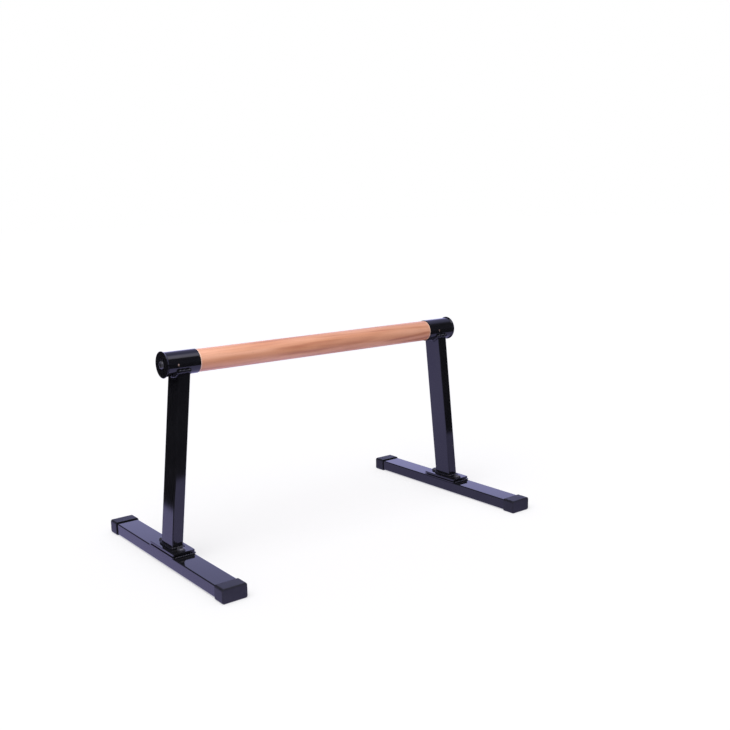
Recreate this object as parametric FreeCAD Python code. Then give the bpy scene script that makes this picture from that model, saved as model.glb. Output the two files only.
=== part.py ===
import FreeCAD, Part
import math
import os

os.makedirs("parts", exist_ok=True)

# Parallette bar. Millimetres. X runs along the wooden grip, Y along the two
# base tubes, Z is up. The origin is on the floor, under the middle of the grip.

# Layout
GRIP_AXIS_HEIGHT = 332.0      # floor to the middle of the grip
STAND_SPACING = 562.0         # between the middles of the two sleeves
UPRIGHT_LEAN = 6.0            # degrees from plumb, leaning in at the top

# Rectangular tube, used for the uprights and for the bases
TUBE_WIDTH = 40.0
TUBE_DEPTH = 20.0
TUBE_WALL = 1.5
TUBE_INNER_CORNER = 0.3
BASE_LENGTH = 395.0

# Sleeve on each end of the grip
SLEEVE_DIAMETER = 40.0
SLEEVE_WALL = 2.5
SLEEVE_LENGTH = 57.0
SIDE_HOLE_DIAMETER = 4.5
BACK_HOLE_OFFSET = 11.5       # outwards from the sleeve's middle
FRONT_HOLE_OFFSET = 4.8       # inwards from the sleeve's middle

# Wooden grip
GRIP_STEP = 1.0               # the grip's surface lies this far below the sleeve's
SHOULDER_BEVEL = 1.2
TENON_FIT = 0.2               # gap all round the tenon in the sleeve
TENON_SHORT = 4.0             # the tenon stops this far inside the sleeve's end

# End disc
DISC_THICKNESS = 4.0
DISC_OVERHANG = 2.0           # beyond the sleeve's outside
DISC_EDGE = 1.0
RECESS_DEPTH = 1.8
RECESS_CLEARANCE = 2.0        # round the bolt head

# Button-head bolts, the same at the grip's ends and at the feet
THREAD_DIAMETER = 8.0
THREAD_FIT = 0.1              # gap all round a bolt in its thread
BOLT_HOLE_CLEARANCE = 0.4     # gap all round a bolt in a plain hole
BOLT_HEAD_DIAMETER = 14.0
BOLT_HEAD_HEIGHT = 4.4
BOLT_HEAD_RIM = 0.8           # straight rim below the dome
SOCKET_ACROSS_FLATS = 5.0
SOCKET_DEPTH = 2.6

# Threaded insert in the wood
INSERT_LENGTH = 25.0
INSERT_WALL = 3.0
INSERT_FIT = 0.05
END_BOLT_SHORT = 3.0          # the bolt stops this far before the insert's end

# Foot plate and its screws
PLATE_THICKNESS = 4.0
PLATE_CORNER = 2.0
PLATE_END_MARGIN = 10.0       # screw centre to the plate's end
SCREW_CLEARANCE = 1.0         # screw head to the weld round the upright
SCREW_PROUD = 1.0             # the screw's tip beyond the nut

# Rivet nuts in the pad
NUT_WALL = 1.5
NUT_FIT = 0.1                 # gap all round the nut in its hole
NUT_FLANGE_THICKNESS = 1.0
NUT_FLANGE_WIDTH = 2.5        # beyond the nut's body
NUT_BULGE_WIDTH = 1.2         # beyond the nut's body
NUT_BULGE_LENGTH = 3.0
NUT_TAIL = 9.5                # below the base tube's top wall

# Pad on the base tube, under the foot plate
PAD_THICKNESS = 2.5
PAD_CORNER = 2.0
PAD_OVERHANG = 1.5            # beyond the tube at each side
PAD_END_MARGIN = 11.0         # screw centre to the pad's end

# Slip-on end caps
CAP_WALL = 2.0
CAP_FIT = 0.1                 # gap round the tube
CAP_END = 4.0
CAP_SKIRT = 20.0
CAP_EDGE = 2.0

# Weld beads
SLEEVE_WELD = 4.0
SLEEVE_WELD_DROP = 7.5        # the bead's top below the grip's axis
UPRIGHT_TOP_DROP = 10.5       # the upright's top below the grip's axis, at most
FOOT_WELD = 4.0
FOOT_WELD_CREST = 0.8

# Directions and turns
RIGHT_ANGLE = 90.0
HALF_TURN = 180.0
HEX_SIDES = 6
ORIGIN = FreeCAD.Vector(0, 0, 0)
ALONG_X = FreeCAD.Vector(1, 0, 0)
ALONG_Y = FreeCAD.Vector(0, 1, 0)
ALONG_Z = FreeCAD.Vector(0, 0, 1)

# Worked out from the sizes above
tube_corner = TUBE_INNER_CORNER + TUBE_WALL
sleeve_middle = STAND_SPACING / 2
sleeve_radius = SLEEVE_DIAMETER / 2
sleeve_bore = sleeve_radius - SLEEVE_WALL
sleeve_inner_end = sleeve_middle - SLEEVE_LENGTH / 2
sleeve_outer_end = sleeve_middle + SLEEVE_LENGTH / 2
grip_radius = sleeve_radius - GRIP_STEP
tenon_radius = sleeve_bore - TENON_FIT
tenon_end = sleeve_outer_end - TENON_SHORT
disc_face = sleeve_outer_end + DISC_THICKNESS
recess_floor = disc_face - RECESS_DEPTH
bolt_radius = THREAD_DIAMETER / 2
thread_bore = bolt_radius + THREAD_FIT
bolt_hole = bolt_radius + BOLT_HOLE_CLEARANCE
head_radius = BOLT_HEAD_DIAMETER / 2
insert_radius = thread_bore + INSERT_WALL
insert_start = tenon_end - INSERT_LENGTH
tube_bottom = CAP_WALL + CAP_FIT
tube_middle = tube_bottom + TUBE_DEPTH / 2
tube_top = tube_bottom + TUBE_DEPTH
pad_top = tube_top + PAD_THICKNESS
plate_bottom = pad_top + NUT_FLANGE_THICKNESS
plate_top = plate_bottom + PLATE_THICKNESS
upright_top = GRIP_AXIS_HEIGHT - UPRIGHT_TOP_DROP
lean_slope = math.tan(math.radians(UPRIGHT_LEAN))
level_depth = TUBE_DEPTH / math.cos(math.radians(UPRIGHT_LEAN))
base_middle = sleeve_middle + lean_slope * (GRIP_AXIS_HEIGHT - plate_top)
screw_offset = TUBE_WIDTH / 2 + FOOT_WELD + SCREW_CLEARANCE + head_radius
plate_length = 2 * (screw_offset + PLATE_END_MARGIN)
pad_length = 2 * (screw_offset + PAD_END_MARGIN)
nut_radius = thread_bore + NUT_WALL
nut_length = PAD_THICKNESS + TUBE_WALL + NUT_TAIL
foot_screw_length = PLATE_THICKNESS + NUT_FLANGE_THICKNESS + nut_length + SCREW_PROUD
end_bolt_length = recess_floor - insert_start - END_BOLT_SHORT


def standing_bar(size_x, size_y, length, corner):
    """A bar with round corners that stands on the origin, along Z."""
    bar = Part.makeBox(size_x, size_y, length, FreeCAD.Vector(-size_x / 2, -size_y / 2, 0))
    long_edges = [edge for edge in bar.Edges if edge.BoundBox.ZLength > length / 2]
    return bar.makeFillet(corner, long_edges)


def lying_bar(size_x, size_z, start, end, corner):
    """A bar with round corners along Y, level with the base tube on the right."""
    bar = standing_bar(size_x, size_z, end - start, corner)
    bar.rotate(ORIGIN, ALONG_X, -RIGHT_ANGLE)
    bar.translate(FreeCAD.Vector(base_middle, start, tube_middle))
    return bar


def leaning_bar(size_x, size_y, corner):
    """A bar along the right upright's axis, longer than the upright at both ends."""
    bar = standing_bar(size_x, size_y, 2 * GRIP_AXIS_HEIGHT, corner)
    bar.translate(FreeCAD.Vector(0, 0, -GRIP_AXIS_HEIGHT))
    bar.rotate(ORIGIN, ALONG_Y, -UPRIGHT_LEAN)
    bar.translate(FreeCAD.Vector(sleeve_middle, 0, GRIP_AXIS_HEIGHT))
    return bar


def rod(radius, start, end):
    """A round bar on the grip's axis, between two places along X."""
    return Part.makeCylinder(radius, end - start, FreeCAD.Vector(start, 0, GRIP_AXIS_HEIGHT), ALONG_X)


def post(radius, x, y, bottom, top):
    """A round bar along Z."""
    return Part.makeCylinder(radius, top - bottom, FreeCAD.Vector(x, y, bottom), ALONG_Z)


def level_slab(bottom, top):
    """A block between two heights that is wider than the whole part."""
    reach = STAND_SPACING + BASE_LENGTH
    corner = FreeCAD.Vector(-reach, -reach, bottom)
    return Part.makeBox(2 * reach, 2 * reach, top - bottom, corner)


def round_edges(shape):
    return [edge for edge in shape.Edges if edge.Curve.TypeId == "Part::GeomCircle"]


def turned(shape):
    """The same piece on the left stand, which is the right one turned half round."""
    copy = shape.copy()
    copy.rotate(ORIGIN, ALONG_Z, HALF_TURN)
    return copy


def button_bolt(length):
    """A bolt with a domed head and a hexagon socket, its head's seat on the origin."""
    head = Part.makeCylinder(head_radius, BOLT_HEAD_HEIGHT)
    top_edge = [edge for edge in round_edges(head) if edge.BoundBox.ZMin > BOLT_HEAD_HEIGHT / 2]
    head = head.makeFillet(BOLT_HEAD_HEIGHT - BOLT_HEAD_RIM, top_edge)
    socket_radius = SOCKET_ACROSS_FLATS / 2 / math.cos(math.pi / HEX_SIDES)
    socket_floor = BOLT_HEAD_HEIGHT - SOCKET_DEPTH
    corners = []
    for corner in range(HEX_SIDES + 1):
        angle = 2 * math.pi * corner / HEX_SIDES
        x = socket_radius * math.cos(angle)
        y = socket_radius * math.sin(angle)
        corners.append(FreeCAD.Vector(x, y, socket_floor))
    socket = Part.Face(Part.makePolygon(corners)).extrude(FreeCAD.Vector(0, 0, BOLT_HEAD_HEIGHT))
    shank = Part.makeCylinder(bolt_radius, length, FreeCAD.Vector(0, 0, -length))
    return head.cut(socket).fuse(shank).removeSplitter()


def grip_bar():
    body = rod(grip_radius, -sleeve_inner_end, sleeve_inner_end)
    body = body.makeChamfer(SHOULDER_BEVEL, round_edges(body))
    grip = body.fuse(rod(tenon_radius, -tenon_end, tenon_end)).removeSplitter()
    insert_hole = rod(insert_radius + INSERT_FIT, insert_start, tenon_end)
    return grip.cut(insert_hole).cut(turned(insert_hole))


def threaded_insert():
    insert = rod(insert_radius, insert_start, tenon_end)
    return insert.cut(rod(thread_bore, insert_start, tenon_end))


def sleeve():
    tube = rod(sleeve_radius, sleeve_inner_end, sleeve_outer_end)
    tube = tube.cut(rod(sleeve_bore, sleeve_inner_end, sleeve_outer_end))
    back_hole = FreeCAD.Vector(sleeve_middle + BACK_HOLE_OFFSET, 0, GRIP_AXIS_HEIGHT)
    front_hole = FreeCAD.Vector(sleeve_middle - FRONT_HOLE_OFFSET, 0, GRIP_AXIS_HEIGHT)
    hole_radius = SIDE_HOLE_DIAMETER / 2
    tube = tube.cut(Part.makeCylinder(hole_radius, SLEEVE_DIAMETER, back_hole, ALONG_Y))
    return tube.cut(Part.makeCylinder(hole_radius, SLEEVE_DIAMETER, front_hole, -ALONG_Y))


def end_disc():
    disc = rod(sleeve_radius + DISC_OVERHANG, sleeve_outer_end, disc_face)
    disc = disc.makeFillet(DISC_EDGE, round_edges(disc))
    disc = disc.cut(rod(head_radius + RECESS_CLEARANCE, recess_floor, disc_face))
    return disc.cut(rod(bolt_hole, sleeve_outer_end, disc_face))


def end_bolt():
    bolt = button_bolt(end_bolt_length)
    bolt.rotate(ORIGIN, ALONG_Y, RIGHT_ANGLE)
    bolt.translate(FreeCAD.Vector(recess_floor, 0, GRIP_AXIS_HEIGHT))
    return bolt


def upright():
    """Cut level on the foot plate and hollowed to the sleeve's underside."""
    inside_x = TUBE_DEPTH - 2 * TUBE_WALL
    inside_y = TUBE_WIDTH - 2 * TUBE_WALL
    tube = leaning_bar(TUBE_DEPTH, TUBE_WIDTH, tube_corner)
    tube = tube.cut(leaning_bar(inside_x, inside_y, TUBE_INNER_CORNER))
    tube = tube.common(level_slab(plate_top, upright_top))
    return tube.cut(rod(sleeve_radius, sleeve_inner_end, sleeve_outer_end))


def sleeve_weld():
    """A collar round the upright's top that fills in between its narrow walls and the sleeve."""
    grown_x = TUBE_DEPTH + 2 * SLEEVE_WELD
    grown_y = TUBE_WIDTH + 2 * SLEEVE_WELD
    collar = leaning_bar(grown_x, grown_y, tube_corner + SLEEVE_WELD)
    tube = leaning_bar(TUBE_DEPTH, TUBE_WIDTH, tube_corner)
    collar = collar.cut(tube.common(level_slab(plate_top, upright_top)))
    collar = collar.common(rod(sleeve_radius + SLEEVE_WELD, sleeve_inner_end, sleeve_outer_end))
    collar = collar.cut(rod(sleeve_radius, sleeve_inner_end, sleeve_outer_end))
    return collar.common(level_slab(plate_top, GRIP_AXIS_HEIGHT - SLEEVE_WELD_DROP))


def foot_outline(growth, height):
    """The upright's outline grown all round, at a height above the foot plate."""
    size_x = level_depth + 2 * growth
    size_y = TUBE_WIDTH + 2 * growth
    bar = standing_bar(size_x, size_y, PLATE_THICKNESS, tube_corner + growth)
    bar.translate(FreeCAD.Vector(base_middle - lean_slope * height, 0, plate_top + height))
    outline = bar.slice(ALONG_Z, plate_top + height + PLATE_THICKNESS / 2)[0]
    outline.translate(FreeCAD.Vector(0, 0, -PLATE_THICKNESS / 2))
    return outline


def foot_weld():
    """A ring round the upright's foot that narrows upwards."""
    outlines = [foot_outline(FOOT_WELD, 0), foot_outline(FOOT_WELD_CREST, FOOT_WELD)]
    ring = Part.makeLoft(outlines, True, True)
    return ring.cut(leaning_bar(TUBE_DEPTH, TUBE_WIDTH, tube_corner))


def foot_plate():
    plate = standing_bar(TUBE_WIDTH, plate_length, PLATE_THICKNESS, PLATE_CORNER)
    plate.translate(FreeCAD.Vector(base_middle, 0, plate_bottom))
    for y in (-screw_offset, screw_offset):
        plate = plate.cut(post(bolt_hole, base_middle, y, plate_bottom, plate_top))
    return plate


def foot_screws():
    screws = []
    for y in (-screw_offset, screw_offset):
        screw = button_bolt(foot_screw_length)
        screw.translate(FreeCAD.Vector(base_middle, y, plate_top))
        screws.append(screw)
    return screws


def rivet_nuts():
    """A flange on the pad, and a bulge that grips the base tube's top wall from inside."""
    nut_bottom = pad_top - nut_length
    bulge_top = tube_top - TUBE_WALL
    nuts = []
    for y in (-screw_offset, screw_offset):
        nut = post(nut_radius, base_middle, y, nut_bottom, plate_bottom)
        nut = nut.fuse(post(nut_radius + NUT_FLANGE_WIDTH, base_middle, y, pad_top, plate_bottom))
        bulge_bottom = bulge_top - NUT_BULGE_LENGTH
        nut = nut.fuse(post(nut_radius + NUT_BULGE_WIDTH, base_middle, y, bulge_bottom, bulge_top))
        nut = nut.cut(post(thread_bore, base_middle, y, nut_bottom, plate_bottom))
        nuts.append(nut.removeSplitter())
    return nuts


def nut_holes():
    """The holes for the rivet nuts, through the pad and the base tube's top wall."""
    holes = []
    for y in (-screw_offset, screw_offset):
        holes.append(post(nut_radius + NUT_FIT, base_middle, y, tube_middle, pad_top))
    return holes


def base_pad():
    """A flat pad on the base tube's top, a little wider than the tube."""
    pad = standing_bar(TUBE_WIDTH + 2 * PAD_OVERHANG, pad_length, PAD_THICKNESS, PAD_CORNER)
    pad.translate(FreeCAD.Vector(base_middle, 0, tube_top))
    for hole in nut_holes():
        pad = pad.cut(hole)
    return pad


def pad_welds():
    """A quarter-round bead across each end of the pad, on the base tube's flat top."""
    length = TUBE_WIDTH - 2 * tube_corner
    root = FreeCAD.Vector(base_middle - length / 2, pad_length / 2, tube_top)
    bead = Part.makeCylinder(PAD_THICKNESS, length, root, ALONG_X)
    bead = bead.common(Part.makeBox(length, PAD_THICKNESS, PAD_THICKNESS, root))
    return [bead, bead.mirror(ORIGIN, ALONG_Y)]


def base_tube():
    half = BASE_LENGTH / 2
    inside_x = TUBE_WIDTH - 2 * TUBE_WALL
    inside_z = TUBE_DEPTH - 2 * TUBE_WALL
    tube = lying_bar(TUBE_WIDTH, TUBE_DEPTH, -half, half, tube_corner)
    tube = tube.cut(lying_bar(inside_x, inside_z, -half, half, TUBE_INNER_CORNER))
    for hole in nut_holes():
        tube = tube.cut(hole)
    return tube


def end_cap():
    """The cap on the back end of the right base tube."""
    seat = BASE_LENGTH / 2
    inside_x = TUBE_WIDTH + 2 * CAP_FIT
    inside_z = TUBE_DEPTH + 2 * CAP_FIT
    outside_x = inside_x + 2 * CAP_WALL
    outside_z = inside_z + 2 * CAP_WALL
    cap = lying_bar(outside_x, outside_z, seat - CAP_SKIRT, seat + CAP_END, tube_corner + CAP_WALL)
    end_edges = [edge for edge in cap.Edges if edge.BoundBox.YMin > seat]
    cap = cap.makeFillet(CAP_EDGE, end_edges)
    return cap.cut(lying_bar(inside_x, inside_z, seat - CAP_SKIRT, seat, tube_corner))


def save(node, shape):
    shape.exportStep(os.path.join("parts", node + ".step"))


def save_pair(piece, shape):
    save("right_" + piece, shape)
    save("left_" + piece, turned(shape))


def save_group(node, solids):
    """One node for equal fasteners on both stands."""
    save(node, Part.makeCompound(solids + [turned(solid) for solid in solids]))


save("grip_bar", grip_bar())
save_pair("sleeve", sleeve())
save_pair("end_disc", end_disc())
save_pair("upright", upright())
save_pair("sleeve_weld", sleeve_weld())
save_pair("foot_weld", foot_weld())
save_pair("foot_plate", foot_plate())
save_pair("base_pad", base_pad())
save_pair("pad_welds", Part.makeCompound(pad_welds()))
save_pair("base_tube", base_tube())
save_group("threaded_inserts", [threaded_insert()])
save_group("end_bolts", [end_bolt()])
save_group("foot_screws", foot_screws())
save_group("rivet_nuts", rivet_nuts())

back_cap = end_cap()
front_cap = back_cap.mirror(ORIGIN, ALONG_Y)
save("right_back_cap", back_cap)
save("right_front_cap", front_cap)
save("left_front_cap", turned(back_cap))
save("left_back_cap", turned(front_cap))
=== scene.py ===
# %% [markdown]
# # A parallette bar, piece by piece
#
# A parallette is a low bar for hand balancing: a round wooden grip between two
# black steel stands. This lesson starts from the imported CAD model, which gives
# every size and place, and models each piece again with Blender's own tools so
# that edges are rounded, welds are rippled and surfaces look like wood, enamel
# and moulded plastic.

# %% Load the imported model
import math

import bmesh
import bpy
from mathutils import Matrix, Vector


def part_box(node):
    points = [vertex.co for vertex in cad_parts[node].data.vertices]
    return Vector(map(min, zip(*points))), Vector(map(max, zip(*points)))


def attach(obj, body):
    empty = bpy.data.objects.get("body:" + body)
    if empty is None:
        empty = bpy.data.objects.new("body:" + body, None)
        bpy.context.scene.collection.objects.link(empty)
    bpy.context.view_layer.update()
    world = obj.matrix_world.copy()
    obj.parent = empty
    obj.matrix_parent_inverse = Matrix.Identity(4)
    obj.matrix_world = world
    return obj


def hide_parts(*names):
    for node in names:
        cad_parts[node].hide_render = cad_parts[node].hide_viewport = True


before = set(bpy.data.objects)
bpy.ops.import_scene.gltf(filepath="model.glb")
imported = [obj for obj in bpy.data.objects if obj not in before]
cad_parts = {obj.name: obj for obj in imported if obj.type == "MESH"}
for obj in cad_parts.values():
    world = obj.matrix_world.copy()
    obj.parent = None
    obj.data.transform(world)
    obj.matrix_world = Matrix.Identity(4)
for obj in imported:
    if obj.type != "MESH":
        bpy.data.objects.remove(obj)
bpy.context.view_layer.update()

# %% [markdown]
# ## Sizes that every step shares
#
# The box round a CAD node gives most sizes, so nothing is measured twice. What
# a box can't show, such as a wall's thickness, is a named value in millimetres.
# Only the right stand is modelled. The left one is the same stand turned half
# round about the upright Z axis, as on the real bar.

# %% Sizes from the model
MM = 0.001
X, Y, Z = 0, 1, 2

sleeve_low, sleeve_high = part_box("right_sleeve")
tube_low, tube_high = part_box("right_base_tube")
plate_low, plate_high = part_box("right_foot_plate")
axis_z = (sleeve_low.z + sleeve_high.z) / 2
sleeve_radius = (sleeve_high.z - sleeve_low.z) / 2
sleeve_x = (sleeve_low.x + sleeve_high.x) / 2
base_x = (tube_low.x + tube_high.x) / 2
lean = (base_x - sleeve_x) / (axis_z - plate_high.z)
print(f"grip axis {axis_z / MM:.1f} mm up, sleeve radius {sleeve_radius / MM:.2f} mm")
print(f"uprights lean in {math.degrees(math.atan(lean)):.2f} degrees")

# %% [markdown]
# ## The camera
#
# The camera goes first, because it says which details will show. Its place was
# found by fitting the sizes above to the photograph. The image is taken to be
# 730 pixels square, and a small shift moves the frame without turning the view.

# %% Camera
FRAME_PIXELS = 730
FOCAL_PIXELS = 907.70
CENTRE_PIXEL_X = 330.0
CENTRE_PIXEL_Y = 380.0
SENSOR_MM = 36.0
CAMERA_PLACE = (-0.94762, -1.30779, 0.57303)
AZIMUTH_DEGREES = -36.5091
LOOK_DOWN_DEGREES = 10.7581
ROLL_DEGREES = -1.2927

camera_data = bpy.data.cameras.new("camera")
camera_data.sensor_width = SENSOR_MM
camera_data.lens = SENSOR_MM * FOCAL_PIXELS / FRAME_PIXELS
camera_data.shift_x = (FRAME_PIXELS / 2 - CENTRE_PIXEL_X) / FRAME_PIXELS
camera_data.shift_y = (CENTRE_PIXEL_Y - FRAME_PIXELS / 2) / FRAME_PIXELS
camera = bpy.data.objects.new("camera", camera_data)
bpy.context.collection.objects.link(camera)
turn = Matrix.Rotation(math.radians(AZIMUTH_DEGREES), 4, "Z")
tilt = Matrix.Rotation(math.radians(90.0 - LOOK_DOWN_DEGREES), 4, "X")
roll = Matrix.Rotation(math.radians(ROLL_DEGREES), 4, "Z")
camera.matrix_world = Matrix.Translation(CAMERA_PLACE) @ turn @ tilt @ roll
bpy.context.scene.camera = camera
bpy.context.scene.view_settings.view_transform = "Standard"
print(f"lens {camera_data.lens:.2f} mm")

# %% [markdown]
# ## Materials: a few helpers
#
# Colours are written as hex values, the way a paint chart gives them. Blender
# works in linear light, so one function converts them. Another adds a node, sets
# its values and links it, which keeps each material readable.

# %% Helpers for materials


def linear(colour):
    """An sRGB hex colour as linear red, green, blue and alpha."""
    channels = []
    for start in (1, 3, 5):
        value = int(colour[start:start + 2], 16) / 255
        channels.append(value / 12.92 if value <= 0.04045 else ((value + 0.055) / 1.055) ** 2.4)
    return (*channels, 1.0)


def add_node(tree, kind, values=None, links=None, **settings):
    """Adds a node with its settings, the values of its sockets and its links."""
    node = tree.nodes.new("ShaderNode" + kind)
    for name, value in settings.items():
        setattr(node, name, value)
    for socket, value in (values or {}).items():
        node.inputs[socket].default_value = value
    for socket, source in (links or {}).items():
        tree.links.new(source, node.inputs[socket])
    return node


def new_material(name):
    """A material with an empty tree and its output."""
    material = bpy.data.materials.new(name)
    material.use_nodes = True
    material.node_tree.nodes.clear()
    return material, material.node_tree, add_node(material.node_tree, "OutputMaterial")


print("half-bright sRGB grey in linear light:", round(linear("#808080")[0], 3))

# %% [markdown]
# ## Lacquered beech
#
# The grip is turned from steamed beech, which is pinkish orange and close
# grained, and then lacquered. The eye sees broad soft tones along the bar, a few
# growth rings that the lathe cut into long loops, short dark flecks, and a
# satin coat that picks up the floor along the underside. The tones are noise
# that is stretched along the grain. The rings come from a wave texture whose
# centre lies beside the bar, so that they run nearly with it, and they fade in
# and out. The last few millimetres at each end of the grip are paler.

# %% Beech patterns
RING_WIDTH = 8.0 * MM
RING_CENTRE_ASIDE = 46.0 * MM
RING_TILT = math.radians(3.0)
WAVE_PERIOD = 2 * math.pi / 20       # Blender's ring period at scale 1
TONE_LENGTH, TONE_WIDTH = 160.0 * MM, 15.0 * MM
STREAK_LENGTH, STREAK_WIDTH = 70.0 * MM, 2.6 * MM
FLECK_LENGTH, FLECK_WIDTH = 5.0 * MM, 0.9 * MM   # twice life size, so that they show

beech, tree, output = new_material("steamed_beech_satin_lacquer")
coords = add_node(tree, "TexCoord").outputs["Object"]
centred = add_node(tree, "Mapping", {
    "Location": (0.0, RING_CENTRE_ASIDE, -axis_z),
    "Rotation": (0.0, RING_TILT, RING_TILT / 2),
}, {"Vector": coords})
rings = add_node(tree, "TexWave", {
    "Scale": WAVE_PERIOD / RING_WIDTH, "Distortion": 5.0, "Detail": 2.0, "Detail Scale": 0.12,
}, {"Vector": centred.outputs["Vector"]}, wave_type="RINGS", rings_direction="X")
grains = {}
for name, length, width, detail in (("tone", TONE_LENGTH, TONE_WIDTH, 1.0),
                                    ("streak", STREAK_LENGTH, STREAK_WIDTH, 3.0),
                                    ("fleck", FLECK_LENGTH, FLECK_WIDTH, 1.0)):
    stretched = add_node(tree, "Mapping", {"Scale": (1 / length, 1 / width, 1 / width)},
                         {"Vector": coords})
    grains[name] = add_node(tree, "TexNoise", {"Scale": 1.0, "Detail": detail},
                            {"Vector": stretched.outputs["Vector"]}).outputs["Fac"]
print("beech patterns:", len(tree.nodes), "nodes")

# %% [markdown]
# ### Colouring the beech
#
# The colours go on in layers, as a painter would lay them: the broad tones, then
# streaks, rings and flecks, each only where its pattern is strong, and last a pale
# band at each end and a paler tenon, which is painted light, by distance along the bar.

# %% Beech colours
PALE_BAND_WIDTH = 2.4 * MM
PALE_BAND_FADE = 0.6 * MM
PORE_DEPTH = 0.02 * MM
pale_band_start = sleeve_low.x - PALE_BAND_WIDTH


def toned(below, pattern, low, high, strength, colour):
    """Lays a colour over what is below, where a pattern runs from low to high."""
    amount = add_node(tree, "MapRange", {"From Min": low, "From Max": high, "To Max": strength},
                      {"Value": pattern}).outputs["Result"]
    return add_node(tree, "Mix", {"B": linear(colour)}, {"Factor": amount, "A": below},
                    data_type="RGBA").outputs["Result"]


broad = add_node(tree, "MapRange", {"From Min": 0.3, "From Max": 0.7},
                 {"Value": grains["tone"]}).outputs["Result"]
tint = add_node(tree, "Mix", {"A": linear("#edb190"), "B": linear("#d8946e")},
                {"Factor": broad}, data_type="RGBA").outputs["Result"]
tint = toned(tint, grains["streak"], low=0.45, high=0.75, strength=0.35, colour="#c48060")
faded = add_node(tree, "Math", links={0: rings.outputs["Fac"], 1: broad},
                 operation="MULTIPLY").outputs["Value"]
tint = toned(tint, faded, low=0.35, high=0.85, strength=0.7, colour="#b46c4e")
tint = toned(tint, grains["fleck"], low=0.62, high=0.74, strength=0.25, colour="#b87a50")
split = add_node(tree, "SeparateXYZ", links={"Vector": coords})
distance = add_node(tree, "Math", links={0: split.outputs["X"]},
                    operation="ABSOLUTE").outputs["Value"]
# Paler towards each end, by distance along the bar: first a band on the last few millimetres of
# the grip, then the tenon inside the sleeve. The tenon's paler colour is a painted highlight, so
# that the wood seen through the side holes shows bright although it lies in shade.
for start, colour in ((pale_band_start, "#f7ceb5"), (sleeve_low.x, "#f6d6c6")):
    tint = toned(tint, distance, low=start, high=start + PALE_BAND_FADE, strength=1.0, colour=colour)
pores = add_node(tree, "Bump", {"Strength": 0.4, "Distance": PORE_DEPTH},
                 {"Height": grains["fleck"]})
wood = add_node(tree, "BsdfPrincipled", {
    "Roughness": 0.5, "IOR": 1.45, "Coat Weight": 0.45, "Coat Roughness": 0.30,
}, {"Base Color": tint, "Normal": pores.outputs["Normal"]})
tree.links.new(wood.outputs["BSDF"], output.inputs["Surface"])
print("beech:", len(tree.nodes), "nodes")

# %% [markdown]
# ## Gloss black enamel
#
# The stands are welded steel, dipped or sprayed with gloss black enamel. Black
# enamel has almost no colour of its own: what the eye sees is its mirror of the
# surroundings, stronger at a shallow angle. So the colour is near black, the
# roughness low, and a very faint orange peel from the spray makes the mirror
# waver. Dust and handling change the gloss a little from place to place.

# %% Enamel
PEEL_SIZE = 2.5 * MM
PEEL_HEIGHT = 0.006 * MM
HANDLING_SIZE = 60.0 * MM

enamel, tree, output = new_material("gloss_black_enamel_on_steel")
coords = add_node(tree, "TexCoord").outputs["Object"]
peel = add_node(tree, "TexNoise", {"Scale": 1 / PEEL_SIZE, "Detail": 1.0}, {"Vector": coords})
peel_bump = add_node(tree, "Bump", {"Strength": 1.0, "Distance": PEEL_HEIGHT},
                     {"Height": peel.outputs["Fac"]})
handling = add_node(tree, "TexNoise", {"Scale": 1 / HANDLING_SIZE, "Detail": 3.0},
                    {"Vector": coords}).outputs["Fac"]
gloss = add_node(tree, "MapRange", {"To Min": 0.04, "To Max": 0.12}, {"Value": handling})
paint = add_node(tree, "MapRange", {"From Min": 0.3, "From Max": 0.7}, {"Value": handling})
black = add_node(tree, "Mix", {"A": linear("#131316"), "B": linear("#1a1a1d")},
                 {"Factor": paint.outputs["Result"]}, data_type="RGBA")
gloss_paint = add_node(tree, "BsdfPrincipled", {"IOR": 1.5}, {
    "Base Color": black.outputs["Result"], "Roughness": gloss.outputs["Result"],
    "Normal": peel_bump.outputs["Normal"],
})
tree.links.new(gloss_paint.outputs["BSDF"], output.inputs["Surface"])
print("enamel:", len(tree.nodes), "nodes")

# %% [markdown]
# ## Moulded cap plastic
#
# The end caps are injection moulded in soft black plastic from a lightly
# spark-eroded mould. That leaves a fine matt grain, so the eye sees a dark,
# even surface with a broad dull sheen and slightly greyer, scuffed patches.

# %% Cap plastic
MOULD_GRAIN = 1.2 * MM               # coarser than life, so that it shows
MOULD_DEPTH = 0.05 * MM
SCUFF_SIZE = 14.0 * MM

cap_plastic, tree, output = new_material("moulded_soft_black_plastic")
coords = add_node(tree, "TexCoord").outputs["Object"]
grain = add_node(tree, "TexNoise", {"Scale": 1 / MOULD_GRAIN, "Detail": 2.0}, {"Vector": coords})
grain_bump = add_node(tree, "Bump", {"Strength": 0.5, "Distance": MOULD_DEPTH},
                      {"Height": grain.outputs["Fac"]})
scuffs = add_node(tree, "TexNoise", {"Scale": 1 / SCUFF_SIZE, "Detail": 4.0},
                  {"Vector": coords}).outputs["Fac"]
scuffed = add_node(tree, "MapRange", {"From Min": 0.4, "From Max": 0.75}, {"Value": scuffs})
cap_black = add_node(tree, "Mix", {"A": linear("#1a1a1e"), "B": linear("#25252b")},
                     {"Factor": scuffed.outputs["Result"]}, data_type="RGBA")
dullness = add_node(tree, "MapRange", {"To Min": 0.42, "To Max": 0.58}, {"Value": scuffs})
plastic = add_node(tree, "BsdfPrincipled", {"IOR": 1.48}, {
    "Base Color": cap_black.outputs["Result"], "Roughness": dullness.outputs["Result"],
    "Normal": grain_bump.outputs["Normal"],
})
tree.links.new(plastic.outputs["BSDF"], output.inputs["Surface"])
print("cap plastic:", len(tree.nodes), "nodes")

# %% [markdown]
# ## Fastener metals
#
# The bolts are steel with a black oxide finish, a thin skin of dark, satin
# magnetite that isn't a metal itself but mirrors more than paint does. The rivet
# nuts are zinc plated, pale with a cloudy spangle, and the inserts in the wood
# are plain turned brass. The three differ only in a few numbers and in the size
# of their clouding, so one loop in this cell makes them.

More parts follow.
